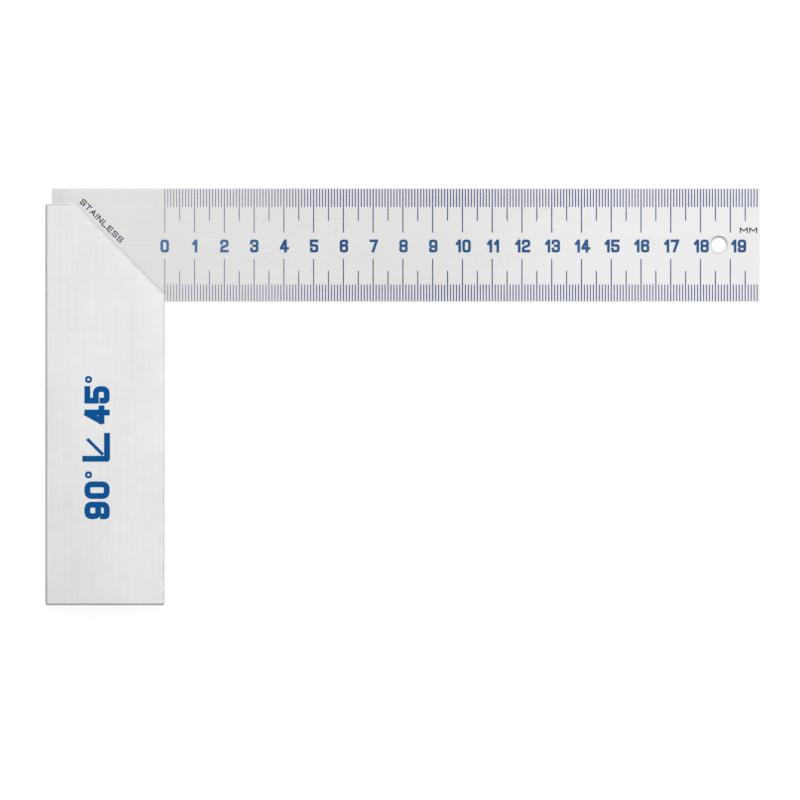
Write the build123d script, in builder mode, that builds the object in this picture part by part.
from build123d import *
import math
import os

# Try square: a solid aluminium stock with a 45 degree mitre shoulder, sawn to take a thin graduated
# stainless blade, which three dowel pins lock in place from the back.
#
# Lengths are millimetres. The square lies on the back of its stock, on z = 0, with its graduated face
# up. X runs along the blade towards its tip and Y across the blade towards its outer edge. The origin
# is the middle of the footprint. The scale's zero is the plane of the stock's inner face.

# ---- Driving dimensions -------------------------------------------------------------------------
# Stock, the thick arm that bears against the edge of the work.
stock_width = 40.0
stock_length = 135.0
stock_thickness = 16.0
edge_break_width = 0.65
edge_break_depth = 0.35
heel_corner_radius = 0.8
end_corner_radius = 0.3

# Mitre shoulder, the 45 degree end of the stock, and the flat left beside it.
shoulder_flat = 9.7
shoulder_blend_radius = 5.0
shoulder_edge_radius = 1.2

# Blade, the thin arm that carries the scale.
blade_reach = 200.0
blade_width = 38.0
blade_thickness = 1.2
blade_edge_break = 0.12
blade_rise = 5.0
blade_setback = 2.0

# Hanging hole, near the tip and on the blade's centre line.
hanging_hole_diameter = 4.8
hanging_hole_from_tip = 13.9
hanging_hole_bevel_width = 0.8
hanging_hole_bevel_depth = 0.3

# Slot, sawn from end to end across the stock.
slot_side_clearance = 0.05
slot_floor_clearance = 0.05

# Dowel pins, pressed into blind holes from the back of the stock, through the blade. Each hole ends
# in the drill's point, which leaves a wall under the stock's front face.
pin_diameter = 4.0
pin_chamfer = 0.4
pin_recess = 0.4
pin_hole_end_room = 0.4
pin_hole_front_wall = 2.0
pin_hole_drill_angle = 118.0
pin_blade_clearance = 0.03
pin_edge_distance = 6.0
pin_shoulder_distance = 7.0

# ---- Places worked out from them ----------------------------------------------------------------
overall_length = stock_width + blade_reach
overall_height = stock_length + blade_rise

outer_face_x = -overall_length / 2
inner_face_x = outer_face_x + stock_width
tip_x = inner_face_x + blade_reach
blade_inner_end_x = outer_face_x + blade_setback

heel_y = -overall_height / 2
stock_end_y = heel_y + stock_length
blade_outer_y = stock_end_y + blade_rise
blade_inner_y = blade_outer_y - blade_width

# At 45 degrees the shoulder falls as far as it runs.
shoulder_run = stock_width - shoulder_flat
shoulder_start = (outer_face_x + shoulder_flat, stock_end_y)
shoulder_end = (inner_face_x, stock_end_y - shoulder_run)

blade_back_z = (stock_thickness - blade_thickness) / 2
slot_width = blade_thickness + 2 * slot_side_clearance
slot_floor_y = blade_inner_y - slot_floor_clearance
slot_depth = stock_end_y - slot_floor_y

# One pin sits in the corner of the blade, and the others keep their distance from the shoulder.
pin_row_x = blade_inner_end_x + pin_edge_distance
pin_row_y = blade_inner_y + pin_edge_distance
shoulder_line = shoulder_start[0] + shoulder_start[1]
pin_limit = shoulder_line - pin_shoulder_distance * math.sqrt(2)
pin_places = {
    "corner_pin": (pin_row_x, pin_row_y),
    "upper_pin": (pin_row_x, pin_limit - pin_row_x),
    "lower_pin": (pin_limit - pin_row_y, pin_row_y),
}
drill_point_length = pin_diameter / 2 / math.tan(math.radians(pin_hole_drill_angle / 2))
pin_hole_depth = stock_thickness - pin_hole_front_wall - drill_point_length
pin_length = pin_hole_depth - pin_hole_end_room - pin_recess

os.makedirs("parts", exist_ok=True)


def save(piece, name):
    """Labels a finished piece with its node's name and writes it to a STEP file of that name."""
    piece.part.label = name
    export_step(piece.part, f"parts/{name}.step")
    print(name, "volume", round(piece.part.volume, 1), "mm3")


# ---- Stock --------------------------------------------------------------------------------------
with BuildPart() as stock:
    with BuildSketch(Plane.XY):
        with BuildLine():
            Polyline(
                (outer_face_x, heel_y),
                (inner_face_x, heel_y),
                shoulder_end,
                shoulder_start,
                (outer_face_x, stock_end_y),
                close=True,
            )
        make_face()
        fillet(vertices().sort_by_distance(shoulder_start)[0], shoulder_blend_radius)
        fillet(vertices().group_by(Axis.Y)[0], heel_corner_radius)
    extrude(amount=stock_thickness)

    # On both faces the edges along the stock and across its heel are broken with a shallow bevel,
    # and the end that carries the shoulder is rounded over.
    for side in (0, -1):
        wide_face = stock.faces().sort_by(Axis.Z)[side]
        heel_edges = wide_face.edges().filter_by(lambda edge: edge.center().Y < shoulder_end[1])
        chamfer(heel_edges, edge_break_width, edge_break_depth, reference=wide_face)
    for side in (0, -1):
        wide_face = stock.faces().sort_by(Axis.Z)[side]
        end_edges = wide_face.edges().filter_by(lambda edge: edge.center().Y > shoulder_end[1])
        fillet(end_edges, shoulder_edge_radius)
    upright_edges = stock.edges().filter_by(Axis.Z)
    fillet(upright_edges.sort_by_distance((outer_face_x, stock_end_y))[0], end_corner_radius)

    # Slot for the blade, open at the stock's end and at both of its side faces.
    with BuildSketch(Plane.XZ.offset(-stock_end_y)):
        with Locations(((outer_face_x + inner_face_x) / 2, stock_thickness / 2)):
            Rectangle(stock_width, slot_width)
    extrude(amount=slot_depth, mode=Mode.SUBTRACT)

    # Blind holes for the pins, drilled from the back, each ending in the drill's point.
    with BuildSketch(Plane.XY):
        with Locations(*pin_places.values()):
            Circle(pin_diameter / 2)
    extrude(amount=pin_hole_depth, mode=Mode.SUBTRACT)
    with Locations(*[(x, y, pin_hole_depth) for x, y in pin_places.values()]):
        Cone(
            pin_diameter / 2,
            0,
            drill_point_length,
            align=(Align.CENTER, Align.CENTER, Align.MIN),
            mode=Mode.SUBTRACT,
        )

save(stock, "stock")

# ---- Blade --------------------------------------------------------------------------------------
with BuildPart() as blade:
    with BuildSketch(Plane.XY.offset(blade_back_z)):
        with Locations(((blade_inner_end_x + tip_x) / 2, (blade_inner_y + blade_outer_y) / 2)):
            Rectangle(tip_x - blade_inner_end_x, blade_width)
    extrude(amount=blade_thickness)
    faces_of_blade = blade.faces().filter_by(Axis.Z)
    chamfer(faces_of_blade.edges(), blade_edge_break)

    with BuildSketch(Plane.XY.offset(blade_back_z)):
        with Locations((tip_x - hanging_hole_from_tip, (blade_inner_y + blade_outer_y) / 2)):
            Circle(hanging_hole_diameter / 2)
    extrude(amount=blade_thickness, mode=Mode.SUBTRACT)
    for side in (0, -1):
        wide_face = blade.faces().sort_by(Axis.Z)[side]
        rim = wide_face.edges().filter_by(GeomType.CIRCLE)
        chamfer(rim, hanging_hole_bevel_width, hanging_hole_bevel_depth, reference=wide_face)

    with BuildSketch(Plane.XY.offset(blade_back_z)):
        with Locations(*pin_places.values()):
            Circle(pin_diameter / 2 + pin_blade_clearance)
    extrude(amount=blade_thickness, mode=Mode.SUBTRACT)

save(blade, "blade")

# ---- Dowel pins ---------------------------------------------------------------------------------
for pin_name, (pin_x, pin_y) in pin_places.items():
    with BuildPart(Plane.XY.offset(pin_recess)) as pin:
        with Locations((pin_x, pin_y)):
            Cylinder(
                pin_diameter / 2,
                pin_length,
                align=(Align.CENTER, Align.CENTER, Align.MIN),
            )
        chamfer(pin.edges().filter_by(GeomType.CIRCLE), pin_chamfer)

    save(pin, pin_name)
